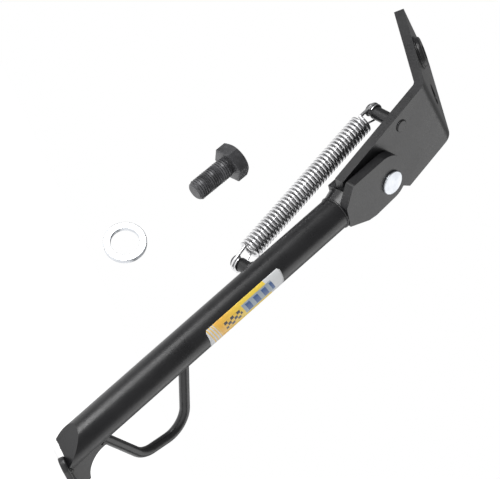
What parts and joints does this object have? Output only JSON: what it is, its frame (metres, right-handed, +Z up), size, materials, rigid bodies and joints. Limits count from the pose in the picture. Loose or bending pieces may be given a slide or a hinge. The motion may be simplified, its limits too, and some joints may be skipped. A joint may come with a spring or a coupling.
{
  "type": "motorcycle side stand",
  "caption": "Bolt-on side stand with bent bracket, hinged tubular leg, kick loop, foot plate and nested over-centre springs, with bolt and spring washer.",
  "frame": {"origin": "centre of the threaded mounting hole, on the flange face that the frame lug seats on", "axes": "+X level, towards the motorcycle's front, nearly along the bracket's bend; +Y outwards, the way the leg leans; +Z up, square to the ground plate. Drawn with the leg lowered."},
  "size_m": [0.1088, 0.1974, 0.2985],
  "materials": {
    "black_paint": "semi-gloss black paint, lightly textured",
    "zinc_plate": "bright zinc plate",
    "bearing_steel": "ground steel, greased",
    "spring_wire": "bright plated wire",
    "black_oxide": "oiled black oxide",
    "label_film": "printed film"
  },
  "bodies": {
    "bracket": {"bracket_plate": "black_paint", "threaded_bush": "black_paint", "bush_weld": "black_paint", "bracket_spring_post": "black_paint", "mounting_bolt": "black_oxide", "spring_washer": "zinc_plate"},
    "leg": {"pivot_pin": "zinc_plate", "pivot_sleeve": "bearing_steel", "front_thrust_washer": "bearing_steel", "rear_thrust_washer": "bearing_steel", "pin_retainer": "zinc_plate", "leg_fork": "black_paint", "leg_tube": "black_paint", "fork_weld": "black_paint", "leg_spring_post": "black_paint", "leg_post_weld": "black_paint", "kick_loop": "black_paint", "kick_loop_welds": "black_paint", "tube_end_plate": "black_paint", "foot_gusset": "black_paint", "foot_plate": "black_paint", "foot_weld": "black_paint", "label": "label_film"},
    "springs_upper": {"outer_spring_upper_hook": "spring_wire", "outer_spring_coil": "spring_wire", "inner_spring_upper_hook": "spring_wire", "inner_spring_coil": "spring_wire"},
    "springs_lower": {"outer_spring_lower_hook": "spring_wire", "inner_spring_lower_hook": "spring_wire"}
  },
  "joints": [
    {"name": "leg_fold", "type": "hinge", "parent": "bracket", "child": "leg", "pos_m": [-0.02154, 0.05477, -0.04882], "axis": [0.0632, 0.9063, 0.4179], "range_deg": [0, 104]},
    {"name": "spring_swing", "type": "hinge", "parent": "bracket", "child": "springs_upper", "pos_m": [-0.00136, 0.02582, -0.03573], "axis": [0.0632, 0.9063, 0.4179], "range_deg": [0, 79.72]},
    {"name": "spring_stretch", "type": "slide", "parent": "springs_upper", "child": "springs_lower", "axis": [-0.0918, 0.4222, -0.9018], "range_m": [-0.00303, 0], "deforming": ["outer_spring_coil", "inner_spring_coil", "outer_spring_lower_hook", "inner_spring_lower_hook"]}
  ],
  "couplings": [
    {"joint": "spring_swing", "follows": "leg_fold", "ratio": 0.76658},
    {"joint": "spring_stretch", "follows": "leg_fold", "m_per_rad": -0.001671}
  ]
}
